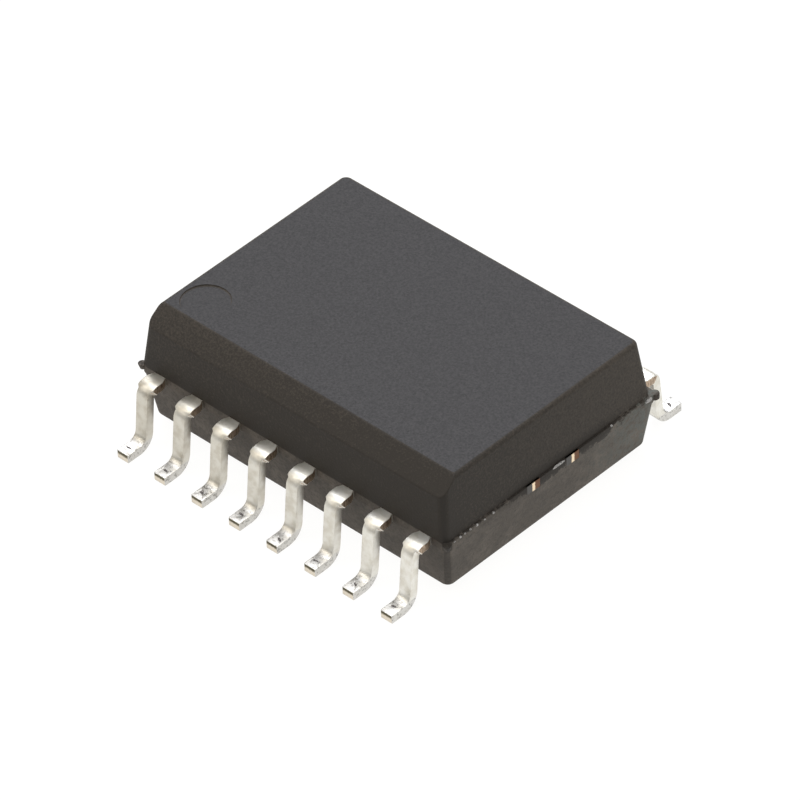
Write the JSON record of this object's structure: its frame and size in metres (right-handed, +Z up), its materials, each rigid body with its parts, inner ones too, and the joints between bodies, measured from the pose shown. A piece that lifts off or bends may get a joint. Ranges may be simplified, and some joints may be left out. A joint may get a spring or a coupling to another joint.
{
  "type": "soic chip",
  "caption": "Thick wide small-outline chip: a black moulded body with a bevelled pin 1 side and gull-wing leads in two rows, for soldering flat to a circuit board.",
  "frame": {"origin": "under the centre of the body, on the plane that the feet stand on", "axes": "+X runs along the rows of leads from lead 1 to lead 8, +Y from the pin 1 side to the other row, +Z up"},
  "size_m": [0.0104, 0.0104, 0.0035],
  "materials": {
    "epoxy": "fine matt moulding grain",
    "tin_plate": "matt tin plate, slightly warm",
    "copper": "bare sheared copper alloy",
    "die_adhesive": "silver-filled epoxy",
    "silicon": "polished silicon",
    "seal_glass": "fused seal glass",
    "gold": "drawn gold wire"
  },
  "bodies": {
    "root": {"mould_body": "epoxy", "lead_1": "tin_plate", "lead_2": "tin_plate", "lead_3": "tin_plate", "lead_4": "tin_plate", "lead_5": "tin_plate", "lead_6": "tin_plate", "lead_7": "tin_plate", "lead_8": "tin_plate", "lead_9": "tin_plate", "lead_10": "tin_plate", "lead_11": "tin_plate", "lead_12": "tin_plate", "lead_13": "tin_plate", "lead_14": "tin_plate", "lead_15": "tin_plate", "lead_16": "tin_plate", "die_flag": "copper", "sensor_attach": "die_adhesive", "control_attach": "die_adhesive", "sensor_die": "silicon", "cap_seal": "seal_glass", "sensor_cap": "silicon", "control_die": "silicon", "wire_lead_4": "gold", "wire_lead_5": "gold", "wire_lead_6": "gold", "wire_lead_7": "gold", "wire_lead_8": "gold", "wire_lead_9": "gold", "wire_lead_10": "gold", "wire_lead_11": "gold", "wire_lead_12": "gold", "wire_lead_13": "gold", "wire_die_1": "gold", "wire_die_2": "gold", "wire_die_3": "gold", "wire_die_4": "gold", "wire_die_5": "gold"}
  },
  "joints": []
}
